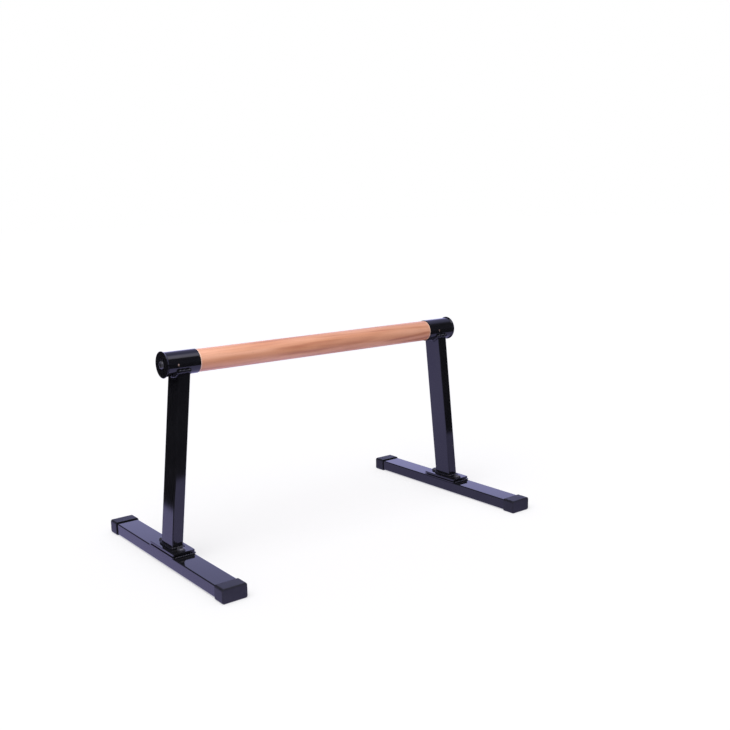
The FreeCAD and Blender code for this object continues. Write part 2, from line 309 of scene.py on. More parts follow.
# %% Fastener metals
METAL_IOR = 1.5                      # Blender's default, which a metal keeps
MAGNETITE_IOR = 2.0
METALS = (
    # name, pale and dark colour, metallic, IOR, least and most roughness, size of the clouding
    ("black_oxide_steel", "#434347", "#313134", 0.0, MAGNETITE_IOR, 0.26, 0.40, 3.0 * MM),
    ("zinc_plated_steel", "#c9ccd2", "#a9adb5", 1.0, METAL_IOR, 0.25, 0.45, 2.0 * MM),
    ("turned_brass", "#cda75e", "#b48a44", 1.0, METAL_IOR, 0.22, 0.38, 4.0 * MM),
)

metals = {}
for name, pale, dark, metallic, ior, shine, dull, cloud_size in METALS:
    metals[name], tree, output = new_material(name)
    coords = add_node(tree, "TexCoord").outputs["Object"]
    clouds = add_node(tree, "TexNoise", {"Scale": 1 / cloud_size, "Detail": 3.0},
                      {"Vector": coords}).outputs["Fac"]
    tone = add_node(tree, "Mix", {"A": linear(pale), "B": linear(dark)},
                    {"Factor": clouds}, data_type="RGBA")
    rough = add_node(tree, "MapRange", {"To Min": shine, "To Max": dull}, {"Value": clouds})
    surface = add_node(tree, "BsdfPrincipled", {"Metallic": metallic, "IOR": ior}, {
        "Base Color": tone.outputs["Result"], "Roughness": rough.outputs["Result"],
    })
    tree.links.new(surface.outputs["BSDF"], output.inputs["Surface"])
print("metals:", sorted(metals))

# %% [markdown]
# ## Working by hand, in code
#
# Blender's operators act on whatever is selected, just as they do under the
# mouse, and loading the model leaves its nodes selected. So the first helpers
# look after the selection, and then one adds a cylinder at its size and place.

# %% Helpers for adding


def deselect_all():
    bpy.ops.object.select_all(action="DESELECT")


def select_only(piece):
    """Makes a piece the active object and the only one selected."""
    deselect_all()
    piece.select_set(True)
    bpy.context.view_layer.objects.active = piece


def settle(name):
    """Names the new object and puts its place and size into its mesh."""
    piece = bpy.context.object
    piece.name = piece.data.name = name
    bpy.ops.object.transform_apply(location=True, rotation=True, scale=True)
    return piece


def add_cylinder(name, radius, start, end, sides):
    """A cylinder between two points."""
    start, end = Vector(start), Vector(end)
    along = end - start
    deselect_all()
    bpy.ops.mesh.primitive_cylinder_add(
        vertices=sides, radius=radius, depth=along.length, location=(start + end) / 2,
        rotation=along.to_track_quat("Z", "Y").to_euler())
    return settle(name)


# %% [markdown]
# ## Picking and shaping
#
# In edit mode, faces and edges are picked by where they lie, such as in the plane
# of a cylinder's end, and what is picked is then extruded or bevelled.

# %% Helpers for edit mode
TINY = 0.01 * MM
ROUND_PROFILE = 0.5                  # Blender's value for a bevel that is part of a circle


def edit(piece):
    """Opens a piece in edit mode with nothing in it selected."""
    select_only(piece)
    bpy.ops.object.mode_set(mode="EDIT")
    bpy.ops.mesh.select_all(action="DESELECT")


def close_edit():
    bpy.ops.object.mode_set(mode="OBJECT")


def pick(kind, test):
    """In edit mode, selects only the faces or edges that pass a test."""
    bpy.ops.mesh.select_mode(type={"faces": "FACE", "edges": "EDGE"}[kind])
    bpy.ops.mesh.select_all(action="DESELECT")
    mesh = bmesh.from_edit_mesh(bpy.context.object.data)
    for item in [item for item in getattr(mesh, kind) if test(item)]:
        item.select_set(True)
    bmesh.update_edit_mesh(bpy.context.object.data)


def lies_at(axis, value):
    """A test for faces or edges that lie wholly in a plane across an axis."""
    return lambda item: all(abs(corner.co[axis] - value) < TINY for corner in item.verts)


def extrude(move):
    bpy.ops.mesh.extrude_region_move(TRANSFORM_OT_translate={"value": move})


def bevel(width, segments):
    """Rounds the picked edges."""
    bpy.ops.mesh.bevel(offset=width, segments=segments, profile=ROUND_PROFILE)


print(f"a face or edge lies in a plane if it is within {TINY / MM:.2f} mm of it")

# %% [markdown]
# ## Finishing a piece
#
# A modelled piece is cleaned, shaded smooth where it is round, and given weighted
# normals, which keep the large faces flat to the eye. That matters on gloss
# paint, where a bent normal bends every reflection. Then the piece takes its
# material and stands for its CAD node.

# %% Helpers for finishing
SOFT_ANGLE = math.radians(35.0)
DOUBLES_DISTANCE = 0.001 * MM


def apply_modifier(piece, kind, **settings):
    """Adds a modifier with its settings, and applies it."""
    select_only(piece)
    modifier = piece.modifiers.new(kind.lower(), kind)
    for name, value in settings.items():
        setattr(modifier, name, value)
    bpy.ops.object.modifier_apply(modifier=modifier.name)


def smooth(piece):
    """Merges doubles, points faces outwards and shades round surfaces smooth."""
    edit(piece)
    bpy.ops.mesh.select_all(action="SELECT")
    bpy.ops.mesh.remove_doubles(threshold=DOUBLES_DISTANCE)
    bpy.ops.mesh.normals_make_consistent(inside=False)
    close_edit()
    bpy.ops.object.shade_smooth_by_angle(angle=SOFT_ANGLE)
    apply_modifier(piece, "WEIGHTED_NORMAL", keep_sharp=True)


def fit(piece, node, material):
    """The piece stands for a CAD node, rides with it and takes its finish."""
    piece.data.materials.clear()
    piece.data.materials.append(material)
    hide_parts(node)
    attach(piece, "root")
    print(f"{piece.name}: {len(piece.data.polygons)} faces, stands for {node}")


print(f"edges flatter than {math.degrees(SOFT_ANGLE):.0f} degrees are shaded smooth")

# %% [markdown]
# ## The grip
#
# The grip is turned on a lathe: a long cylinder with a rounded shoulder at each
# end and a thinner tenon that slides into the sleeve. A profile could be spun
# round the axis, but a cylinder whose ends are bevelled, inset and pulled out
# is quicker and keeps the long sides straight. The last inset is the hole for
# the threaded insert.

# %% Grip
GRIP_SIDES = 128
SHOULDER = 1.2 * MM
TENON_RADIUS = 17.3 * MM
INSERT_HOLE_RADIUS = 7.15 * MM
INSERT_HOLE_DEPTH = 25.0 * MM
grip_low, grip_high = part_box("grip_bar")
grip_radius = (grip_high.z - grip_low.z) / 2
shoulder_x = sleeve_low.x

grip = add_cylinder("grip", grip_radius, (-shoulder_x, 0, axis_z),
                    (shoulder_x, 0, axis_z), GRIP_SIDES)
edit(grip)
for side in (-1, 1):
    pick("edges", lies_at(X, side * shoulder_x))
    bevel(SHOULDER, segments=3)
    pick("faces", lies_at(X, side * shoulder_x))
    bpy.ops.mesh.inset(thickness=grip_radius - SHOULDER - TENON_RADIUS)
    extrude((side * (grip_high.x - shoulder_x), 0, 0))
    bpy.ops.mesh.inset(thickness=TENON_RADIUS - INSERT_HOLE_RADIUS)
    extrude((-side * INSERT_HOLE_DEPTH, 0, 0))
close_edit()
smooth(grip)
fit(grip, "grip_bar", beech)

# %% [markdown]
# ## Holes, soft edges and the second stand
#
# The steel pieces need a little more. Holes are cut with a Boolean, and a Bevel
# modifier softens every sharp edge at once. Each piece of the left stand is a
# copy of the right-hand one, turned half round, with a mesh of its own.

# %% Helpers for the stands
QUAD_CORNERS = 4
SOFT_SEGMENTS = 2


def many_sided(face):
    """A test for the faces that close a round or rounded end."""
    return len(face.verts) > QUAD_CORNERS


def cut_with(piece, cutter):
    """Takes the cutter's shape out of the piece, and removes the cutter."""
    apply_modifier(piece, "BOOLEAN", operation="DIFFERENCE", object=cutter, solver="EXACT")
    bpy.data.objects.remove(cutter)


def soften(piece, width):
    """Rounds every sharp edge of a piece."""
    apply_modifier(piece, "BEVEL", width=width, segments=SOFT_SEGMENTS, limit_method="ANGLE",
                   angle_limit=SOFT_ANGLE)


def turned_copy(piece, name, centre=(0.0, 0.0, 0.0)):
    """A copy with its own mesh, turned half round about the upright line through a centre."""
    select_only(piece)
    bpy.ops.object.duplicate(linked=False)
    bpy.ops.transform.rotate(value=math.pi, orient_axis="Z", center_override=centre)
    return settle(name)


def fit_both(piece, part, material):
    """Fits the right-hand piece and its copy on the left stand."""
    left = turned_copy(piece, part + "_left")
    fit(piece, "right_" + part, material)
    fit(left, "left_" + part, material)


print("a softened edge has", SOFT_SEGMENTS, "segments")

# %% [markdown]
# ## The sleeves
#
# Each sleeve is a short piece of steel tube. The end faces of a cylinder are
# inset by the wall's thickness, and the two inner faces are bridged, which
# opens the bore. Two small holes in opposite sides are drilled with a Boolean,
# each from its own side only, and the Bevel modifier takes the burr off.

# %% Sleeves
SLEEVE_SIDES = 128
SLEEVE_WALL = 2.5 * MM
SLEEVE_EDGE = 0.4 * MM
SIDE_HOLE_RADIUS = 2.25 * MM
SIDE_HOLE_SIDES = 24
BACK_HOLE_OUT = 11.5 * MM
FRONT_HOLE_IN = 4.8 * MM

sleeve = add_cylinder("sleeve_right", sleeve_radius, (sleeve_low.x, 0, axis_z),
                      (sleeve_high.x, 0, axis_z), SLEEVE_SIDES)
edit(sleeve)
for end in (sleeve_low.x, sleeve_high.x):
    pick("faces", lies_at(X, end))
    bpy.ops.mesh.inset(thickness=SLEEVE_WALL)
pick("faces", many_sided)
bpy.ops.mesh.bridge_edge_loops()
close_edit()
for x, side in ((sleeve_x + BACK_HOLE_OUT, 1), (sleeve_x - FRONT_HOLE_IN, -1)):
    drill = add_cylinder("drill", SIDE_HOLE_RADIUS, (x, 0, axis_z),
                         (x, side * 2 * sleeve_radius, axis_z), SIDE_HOLE_SIDES)
    cut_with(sleeve, drill)
soften(sleeve, SLEEVE_EDGE)
smooth(sleeve)
fit_both(sleeve, "sleeve", enamel)

# %% [markdown]
# ## The end discs
#
# A round plate closes each sleeve and stands a little proud of it, with a
# shallow recess for the bolt's head. Its front edge is rounded, and its back
# tapers down to the sleeve, which catches a thin bright line of light. The front
# part is a cylinder with a bevelled edge. Its back face is extruded and scaled
# to make the taper, and one inset and one extrude make the recess. The bolt hole
# is made as the sleeve's bore was, by insetting both sides and bridging.

# %% End discs
DISC_SIDES = 128
DISC_EDGE = 1.0 * MM
DISC_TAPER = 2.6 * MM
DISC_BREAK = 0.35 * MM
RECESS_RADIUS = 9.0 * MM
RECESS_DEPTH = 1.8 * MM
BOLT_HOLE_RADIUS = 4.4 * MM
disc_low, disc_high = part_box("right_end_disc")
disc_radius = (disc_high.z - disc_low.z) / 2
taper_x = disc_low.x + DISC_TAPER
taper_share = sleeve_radius / disc_radius

disc = add_cylinder("end_disc_right", disc_radius, (taper_x, 0, axis_z),
                    (disc_high.x, 0, axis_z), DISC_SIDES)
edit(disc)
pick("edges", lies_at(X, disc_high.x))
bevel(DISC_EDGE, segments=4)
pick("faces", lies_at(X, taper_x))
extrude((-DISC_TAPER, 0, 0))
bpy.ops.transform.resize(value=(1.0, taper_share, taper_share),
                         center_override=(disc_low.x, 0.0, axis_z))
pick("faces", lies_at(X, disc_high.x))
bpy.ops.mesh.inset(thickness=disc_radius - DISC_EDGE - RECESS_RADIUS)
extrude((-RECESS_DEPTH, 0, 0))
bpy.ops.mesh.inset(thickness=RECESS_RADIUS - BOLT_HOLE_RADIUS)
pick("faces", lies_at(X, disc_low.x))
bpy.ops.mesh.inset(thickness=sleeve_radius - BOLT_HOLE_RADIUS)
pick("faces", many_sided)
bpy.ops.mesh.bridge_edge_loops()
close_edit()
soften(disc, DISC_BREAK)
smooth(disc)
fit_both(disc, "end_disc", enamel)

# %% [markdown]
# ## Button-head bolts
#
# All six fasteners are the same kind of bolt: a low domed head with a hexagon
# socket, and a round shank. A wide bevel turns the top of a cylinder into the
# dome. The socket is a six-sided cylinder taken out with a Boolean, and the
# shank is pulled out of the head's seat. One function makes a bolt standing on
# its seat, because the two kinds differ only in their length.

# %% A button-head bolt
HEAD_RADIUS = 7.0 * MM
HEAD_HEIGHT = 4.4 * MM
HEAD_RIM = 0.8 * MM
HEAD_BREAK = 0.15 * MM
SHANK_RADIUS = 4.0 * MM
KEY_HALF_WIDTH = 2.5 * MM
SOCKET_SIDES = 6
SOCKET_RADIUS = KEY_HALF_WIDTH / math.cos(math.pi / SOCKET_SIDES)
SOCKET_DEPTH = 2.6 * MM
BOLT_SIDES = 64


def button_bolt(name, shank_length):
    """A bolt on the Z axis with its head's seat at height zero."""
    bolt = add_cylinder(name, HEAD_RADIUS, (0, 0, 0), (0, 0, HEAD_HEIGHT), BOLT_SIDES)
    edit(bolt)
    pick("edges", lies_at(Z, HEAD_HEIGHT))
    bevel(HEAD_HEIGHT - HEAD_RIM, segments=8)
    pick("faces", lies_at(Z, 0.0))
    bpy.ops.mesh.inset(thickness=HEAD_RADIUS - SHANK_RADIUS)
    extrude((0, 0, -shank_length))
    close_edit()
    socket = add_cylinder("socket", SOCKET_RADIUS, (0, 0, HEAD_HEIGHT - SOCKET_DEPTH),
                          (0, 0, 2 * HEAD_HEIGHT), SOCKET_SIDES)
    cut_with(bolt, socket)
    soften(bolt, HEAD_BREAK)
    smooth(bolt)
    return bolt


print("bolt head:", HEAD_RADIUS / MM, "mm radius,", HEAD_HEIGHT / MM, "mm high")

# %% [markdown]
# ### Bolts at the ends, screws at the feet
#
# One bolt holds each end disc against the grip, and two screws hold each foot
# plate down. Each kind is modelled once and copied to its places, so that all
# the heads are alike. The copies are joined, because they share one CAD node.

# %% End bolts and foot screws
END_BOLT_LENGTH = 28.2 * MM
FOOT_SCREW_LENGTH = 19.5 * MM
SCREW_Y = 32.0 * MM
seat_x = disc_high.x - RECESS_DEPTH


def placed_copy(piece, name, turn_y, place):
    """A copy with its own mesh, turned about Y and moved to its place."""
    select_only(piece)
    bpy.ops.object.duplicate(linked=False)
    bpy.context.object.rotation_euler.y = turn_y
    bpy.context.object.location = place
    return settle(name)


def join(pieces, name):
    """Joins separate solids into one object."""
    deselect_all()
    for piece in pieces:
        piece.select_set(True)
    bpy.context.view_layer.objects.active = pieces[0]
    bpy.ops.object.join()
    return settle(name)


pattern = button_bolt("end_bolt_pattern", END_BOLT_LENGTH)
right = placed_copy(pattern, "end_bolt_a", math.pi / 2, (seat_x, 0, axis_z))
left = placed_copy(pattern, "end_bolt_b", -math.pi / 2, (-seat_x, 0, axis_z))
bpy.data.objects.remove(pattern)
end_bolts = join([right, left], "bolts_at_the_ends")
fit(end_bolts, "end_bolts", metals["black_oxide_steel"])

pattern = button_bolt("foot_screw_pattern", FOOT_SCREW_LENGTH)
screws = []
for x in (-base_x, base_x):
    for y in (-SCREW_Y, SCREW_Y):
        screws.append(placed_copy(pattern, "foot_screw", 0.0, (x, y, plate_high.z)))
bpy.data.objects.remove(pattern)
foot_screws = join(screws, "screws_at_the_feet")
fit(foot_screws, "foot_screws", metals["black_oxide_steel"])

# %% [markdown]
# ## The uprights
#
# An upright is rectangular tube that leans in at the top but is sawn level at
# the foot. A block could be turned and then sawn, yet sliding the top face
# sideways leans it and keeps the foot level in one move. The long edges are
# rounded like drawn tube, the ends are inset and bridged to make it hollow, and
# a cylinder the size of the sleeve cuts the curved seat at the top.
# Two more helpers add a block and pick the edges that run along an axis.

# %% Helpers for rectangular tube
MOSTLY = 0.9                         # an edge with a larger cosine to an axis runs along it


def add_block(name, low, high):
    """A block between two corners."""
    low, high = Vector(low), Vector(high)
    deselect_all()
    bpy.ops.mesh.primitive_cube_add(size=1, location=(low + high) / 2, scale=high - low)
    return settle(name)


def runs_along(axis):
    """A test for edges that run mostly along an axis."""
    def test(edge):
        along = (edge.verts[1].co - edge.verts[0].co).normalized()
        return abs(along[axis]) > MOSTLY
    return test


print(f"an edge up to {math.degrees(math.acos(MOSTLY)):.0f} degrees off an axis runs along it")

# %% Uprights
TUBE_WIDTH = 40.0 * MM
TUBE_DEPTH = 20.0 * MM
TUBE_WALL = 1.5 * MM
TUBE_CORNER = 1.8 * MM
level_depth = TUBE_DEPTH * math.sqrt(1 + lean ** 2)
_, upright_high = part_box("right_upright")
upright_rise = upright_high.z - plate_high.z

upright = add_block("upright_right",
                    (base_x - level_depth / 2, -TUBE_WIDTH / 2, plate_high.z),
                    (base_x + level_depth / 2, TUBE_WIDTH / 2, upright_high.z))
edit(upright)
pick("faces", lies_at(Z, upright_high.z))
bpy.ops.transform.translate(value=(-lean * upright_rise, 0, 0))
pick("edges", runs_along(Z))
bevel(TUBE_CORNER, segments=5)
for end in (plate_high.z, upright_high.z):
    pick("faces", lies_at(Z, end))
    bpy.ops.mesh.inset(thickness=TUBE_WALL)
pick("faces", many_sided)
bpy.ops.mesh.bridge_edge_loops()
close_edit()
seat = add_cylinder("seat", sleeve_radius, (sleeve_low.x, 0, axis_z),
                    (sleeve_high.x, 0, axis_z), SLEEVE_SIDES)
cut_with(upright, seat)
smooth(upright)
fit_both(upright, "upright", enamel)

# %% [markdown]
# ## Weld beads
#
# A hand-laid weld is a row of small overlapping puddles, like a stack of coins
# pushed over. One lump is modelled, copies of it are set along the seam, and a
# voxel remesh runs them together into a single bead with a rippled back. Lumps
# differ a little in size, as a welder's hand does.

# %% A weld bead along a seam
LUMP_DETAIL = 2
LUMP_WAVES = ((0.15, 2.4, 0.0), (0.08, 0.9, 1.0))   # each wave's share of the size, pace and start
BEAD_VOXEL = 0.45 * MM
SMOOTHING_ROUNDS = 2


def weld_bead(name, seam, radius):
    """One bead made of lumps that are set along a seam."""
    deselect_all()
    bpy.ops.mesh.primitive_ico_sphere_add(subdivisions=LUMP_DETAIL, radius=radius,
                                          location=(0, 0, 0))
    lump = settle("lump")
    lumps = []
    for number, point in enumerate(seam):
        size = 1.0
        for share, pace, start in LUMP_WAVES:
            size += share * math.sin(pace * number + start)
        copy = lump.copy()
        copy.data = lump.data.copy()
        copy.location = point
        copy.scale = (size, size, size)
        bpy.context.collection.objects.link(copy)
        lumps.append(copy)
    bpy.data.objects.remove(lump)
    bead = join(lumps, name)
    apply_modifier(bead, "REMESH", mode="VOXEL", voxel_size=BEAD_VOXEL)
    apply_modifier(bead, "SMOOTH", iterations=SMOOTHING_ROUNDS, factor=0.5)
    smooth(bead)
    return bead


print("bead voxel:", BEAD_VOXEL / MM, "mm")

# %% [markdown]
# ### Seams round the uprights
#
# The welds at both ends of an upright run all the way round it, so the lumps are
# set evenly along a rectangle with round corners. At the foot the seam is level.
# Under the sleeve it rises and falls with the sleeve's round underside.

# %% Points round a seam
CORNER_STEPS = 4
CORNERS = ((1, 1), (-1, 1), (-1, -1), (1, -1))


def round_outline(half_x, half_y, corner, spacing):
    """Points set evenly round a rectangle with round corners."""
    path = []
    for quarter, (side_x, side_y) in enumerate(CORNERS):
        for step in range(CORNER_STEPS + 1):
            angle = math.pi / 2 * (quarter + step / CORNER_STEPS)
            path.append(Vector((side_x * (half_x - corner) + corner * math.cos(angle),
                                side_y * (half_y - corner) + corner * math.sin(angle), 0.0)))
    path.append(path[0])
    total = sum((b - a).length for a, b in zip(path, path[1:]))
    step = total / round(total / spacing)
    points = []
    ahead = 0.0
    for a, b in zip(path, path[1:]):
        length = (b - a).length
        while ahead < length - TINY:
            points.append(a.lerp(b, ahead / length))
            ahead += step
        ahead -= length
    return points


def upright_middle(height):
    """Where the right upright's axis is at a height."""
    return sleeve_x + lean * (axis_z - height)


foot_out = upright_middle(plate_high.z) - sleeve_x
print(f"the foot of an upright is {foot_out / MM:.1f} mm outside the middle of its sleeve")

# %% [markdown]
# ### Welds at both ends of an upright
#
# The bead under the sleeve fills the wedge between a flat wall and a round tube,
# so it is the fatter one. At the foot, a finer bead fills the corner between the
# upright and its plate.

# %% Welds under the sleeves and round the feet
SLEEVE_BEAD = 3.5 * MM
SLEEVE_BEAD_STEP = 3.2 * MM
FOOT_BEAD = 2.6 * MM
FOOT_BEAD_STEP = 2.2 * MM
BEAD_OUT = 0.8 * MM

seam = []
for point in round_outline(level_depth / 2, TUBE_WIDTH / 2 - BEAD_OUT,
                           TUBE_CORNER + BEAD_OUT, SLEEVE_BEAD_STEP):
    height = axis_z - math.sqrt((sleeve_radius + BEAD_OUT / 2) ** 2 - point.y ** 2)
    if height > upright_high.z:
        height = upright_high.z - BEAD_OUT
    seam.append((upright_middle(height) + point.x, point.y, height))
fit_both(weld_bead("sleeve_weld_right", seam, SLEEVE_BEAD), "sleeve_weld", enamel)

seam = []
for point in round_outline(level_depth / 2 + BEAD_OUT, TUBE_WIDTH / 2 + BEAD_OUT,
                           TUBE_CORNER + BEAD_OUT, FOOT_BEAD_STEP):
    seam.append((base_x + point.x, point.y, plate_high.z + BEAD_OUT))
fit_both(weld_bead("foot_weld_right", seam, FOOT_BEAD), "foot_weld", enamel)

# %% [markdown]
# ## The foot plates
#
# A flat plate is welded under each upright, and two screws go through it. It is
# sheared from bar, so its four upright corners are rounded and its edges are
# only broken. The holes are drilled with a Boolean. The steps are in a function,
# because the next piece down is made the same way.

# %% Foot plates
PLATE_CORNER = 2.0 * MM
PLATE_EDGE = 0.6 * MM
SCREW_HOLE_RADIUS = 4.4 * MM
HOLE_SIDES = 48


def sheared_plate(name, low, high, hole_radius):
    """A plate with round corners, two holes and broken edges."""
    sheared = add_block(name, low, high)
    edit(sheared)
    pick("edges", runs_along(Z))
    bevel(PLATE_CORNER, segments=4)
    close_edit()
    for y in (-SCREW_Y, SCREW_Y):
        drill = add_cylinder("drill", hole_radius, (base_x, y, low.z - PLATE_CORNER),
                             (base_x, y, high.z + PLATE_CORNER), HOLE_SIDES)
        cut_with(sheared, drill)
    soften(sheared, PLATE_EDGE)
    smooth(sheared)
    return sheared


plate = sheared_plate("foot_plate_right", plate_low, plate_high, SCREW_HOLE_RADIUS)
fit_both(plate, "foot_plate", enamel)

# %% [markdown]
# ## The pads on the bases
#
# Under each foot plate, a flat pad is welded to the base tube and holds the two
# rivet nuts. It is a little wider than the tube, so a fine dark line shows under
# its long edges. It is sheared and drilled as the foot plate is.

# %% Pads
NUT_HOLE_RADIUS = 5.7 * MM
pad_low, pad_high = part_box("right_base_pad")

pad = sheared_plate("base_pad_right", pad_low, pad_high, NUT_HOLE_RADIUS)
fit_both(pad, "base_pad", enamel)

# %% [markdown]
# ### Welds on the pads
#
# A straight bead across each end holds a pad down. The seam is a plain row of
# points this time, and a pad's two beads are joined, because they share one CAD
# node.

# %% Welds across the pads' ends
PAD_BEAD = 2.0 * MM
PAD_BEAD_STEP = 1.6 * MM
PAD_BEAD_OUT = PAD_BEAD / 4
PAD_BEAD_UP = PAD_BEAD / 3
bead_half = TUBE_WIDTH / 2 - TUBE_CORNER - PAD_BEAD
steps = round(2 * bead_half / PAD_BEAD_STEP)

beads = []
for side in (-1, 1):
    seam = []
    for number in range(steps + 1):
        x = base_x - bead_half + 2 * bead_half * number / steps
        seam.append((x, side * (pad_high.y + PAD_BEAD_OUT), tube_high.z + PAD_BEAD_UP))
    beads.append(weld_bead("pad_bead", seam, PAD_BEAD))
fit_both(join(beads, "pad_welds_right"), "pad_welds", enamel)

# %% [markdown]
# ## The base tubes
#
# Each base is the same rectangular tube laid flat. It is modelled as the
# uprights were: a block, its long edges rounded, and its ends inset and bridged.
# The rivet nuts need two holes in its top wall.

# %% Base tubes
tube_middle_z = (tube_low.z + tube_high.z) / 2

tube = add_block("base_tube_right", tube_low, tube_high)
edit(tube)
pick("edges", runs_along(Y))
bevel(TUBE_CORNER, segments=5)
for end in (tube_low.y, tube_high.y):
    pick("faces", lies_at(Y, end))
    bpy.ops.mesh.inset(thickness=TUBE_WALL)
pick("faces", many_sided)
bpy.ops.mesh.bridge_edge_loops()
close_edit()
for y in (-SCREW_Y, SCREW_Y):
    drill = add_cylinder("drill", NUT_HOLE_RADIUS, (base_x, y, tube_middle_z),
                         (base_x, y, tube_high.z + TUBE_WALL), HOLE_SIDES)
    cut_with(tube, drill)
smooth(tube)
fit_both(tube, "base_tube", enamel)

# %% [markdown]
# ## The end caps
#
# Slip-on caps close the tubes and are the bar's feet. A cap is a block with
# large round corners. Its closed end is bevelled, and its open end is inset and
# pushed in to leave a skirt. The lip of the skirt is softened as moulded edges
# are. One cap is modelled, and the other three are copies, because a cap turned
# half round about Z fits the far end of the other base.

# %% End caps
CAP_CORNER = 3.8 * MM
CAP_EDGE = 2.0 * MM
CAP_WALL = 2.0 * MM
CAP_SKIRT = 20.0 * MM
CAP_LIP = 0.5 * MM
cap_low, cap_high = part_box("right_back_cap")

cap = add_block("back_cap_right", cap_low, cap_high)
edit(cap)
pick("edges", runs_along(Y))
bevel(CAP_CORNER, segments=6)
pick("edges", lies_at(Y, cap_high.y))
bevel(CAP_EDGE, segments=4)
pick("faces", lies_at(Y, cap_low.y))
bpy.ops.mesh.inset(thickness=CAP_WALL)
extrude((0, CAP_SKIRT, 0))
close_edit()
soften(cap, CAP_LIP)
smooth(cap)

front_cap = turned_copy(cap, "front_cap_right", (base_x, 0.0, 0.0))
caps = {
    "left_front_cap": turned_copy(cap, "front_cap_left"),
    "left_back_cap": turned_copy(front_cap, "back_cap_left"),
    "right_front_cap": front_cap,
    "right_back_cap": cap,
}
for node, piece in caps.items():
    fit(piece, node, cap_plastic)

# %% [markdown]
# ## Nodes that stay as they are
#
# The rivet nuts are hidden in the thin dark gap under the foot plates, and the
# threaded inserts are inside the wood. Their CAD shapes are right, so they stay
# and only take a better material.

# %% Kept nodes
for node, metal in (("rivet_nuts", "zinc_plated_steel"), ("threaded_inserts", "turned_brass")):
    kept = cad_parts[node]
    kept.data.materials.clear()
    kept.data.materials.append(metals[metal])
    print(node, "keeps its CAD shape, in", metal)

# %% [markdown]
# ## The floor
#
# The bar stands on a pale sweep of paper that photographs white. In gloss black
# paint, though, the paper shows as it is, a pale lavender that ends a little way
# in front and to the left of the bar, where the studio is dark. The first nodes
# say where a mirrored ray lands on the paper, which grows darker to the right,
# away from the lamp.

# %% Floor and the edges of the paper
FLOOR_HALF = 30.0
PAPER_LEFT = -0.505
PAPER_FRONT = -0.435
PAPER_SLANT = -0.13                  # the front edge comes nearer to the bar towards the right
PAPER_FADE = 0.025
PAPER_RIGHT, PAPER_DIM = 0.5, 0.6    # where the paper has grown dimmest, and its brightness there

deselect_all()
bpy.ops.mesh.primitive_plane_add(size=2 * FLOOR_HALF, location=(0, 0, 0))
floor = settle("floor")
paper, tree, output = new_material("pale_paper_sweep")
coords = add_node(tree, "TexCoord").outputs["Object"]
split = add_node(tree, "SeparateXYZ", links={"Vector": coords})
to_right = add_node(tree, "MapRange", {
    "From Max": PAPER_RIGHT, "To Min": 1.0, "To Max": PAPER_DIM,
}, {"Value": split.outputs["X"]})
from_left = add_node(tree, "MapRange", {
    "From Min": PAPER_LEFT - PAPER_FADE, "From Max": PAPER_LEFT,
}, {"Value": split.outputs["X"], "To Max": to_right.outputs["Result"]})
slanted = add_node(tree, "Math", {1: PAPER_SLANT}, {0: split.outputs["X"], 2: split.outputs["Y"]},
                   operation="MULTIPLY_ADD")
on_paper = add_node(tree, "MapRange", {
    "From Min": PAPER_FRONT - PAPER_FADE, "From Max": PAPER_FRONT,
}, {"Value": slanted.outputs["Value"], "To Max": from_left.outputs["Result"]})
print("floor", 2 * FLOOR_HALF, "m square")

# %% [markdown]
# ### White paper with a soft shadow
#
# The camera should see white all over, and the bar's shadow on it. The floor is
# therefore partly matt, which takes the shadow, and partly glowing. The glow is
# white less what the lamp and the room put on the matt part where nothing is in
# the way. The lamp's share follows from its distance and angle.

# %% The floor's glow
SHADOW_SHARE = 0.50                  # the part of the floor's white that shadow can take away
WHITE_LEVEL = 1.03                   # a little over white, so that noise doesn't show
SOFTBOX_PLACE = Vector((-0.65, -0.45, 1.6))
SOFTBOX_AIM = Vector((0.0, 0.0, 0.2))
SOFTBOX_SIZE = 1.5
SOFTBOX_POWER = 24.0
AMBIENT_LIGHT = 0.44
softbox_axis = (SOFTBOX_AIM - SOFTBOX_PLACE).normalized()
lamp_share = SHADOW_SHARE * SOFTBOX_POWER * SOFTBOX_PLACE.z / math.pi ** 2
room_share = SHADOW_SHARE * AMBIENT_LIGHT

from_lamp = add_node(tree, "VectorMath", {1: SOFTBOX_PLACE}, {0: coords},
                     operation="SUBTRACT").outputs["Vector"]
squared = add_node(tree, "VectorMath", links={0: from_lamp, 1: from_lamp},
                   operation="DOT_PRODUCT").outputs["Value"]
ahead = add_node(tree, "VectorMath", {1: softbox_axis}, {0: from_lamp},
                 operation="DOT_PRODUCT").outputs["Value"]
spread = add_node(tree, "Math", {1: SOFTBOX_SIZE ** 2 / math.pi}, {0: squared},
                  operation="ADD").outputs["Value"]
weakened = add_node(tree, "Math", links={0: squared, 1: spread},
                    operation="MULTIPLY").outputs["Value"]
lamp_light = add_node(tree, "Math", links={0: ahead, 1: weakened},
                      operation="DIVIDE").outputs["Value"]
glow_level = add_node(tree, "Math", {1: -lamp_share, 2: WHITE_LEVEL - room_share}, {0: lamp_light},
                      operation="MULTIPLY_ADD")
print(f"the room lights the matt part to {room_share:.2f}")

# %% [markdown]
# ### One floor for three kinds of ray
#
# Light Path tells the kinds of ray apart. The camera sees the glowing white
# floor, gloss paint mirrors the lavender paper, and all other light bounces off
# plain pale paper.

# %% The floor's surface
PAPER_MIRRORED = (0.70, 0.65, 1.25, 1.0)   # linear, over 1 in blue so that black paint shows it


def grey(level):
    """A neutral colour of a brightness that is already linear."""
    return (level, level, level, 1.0)


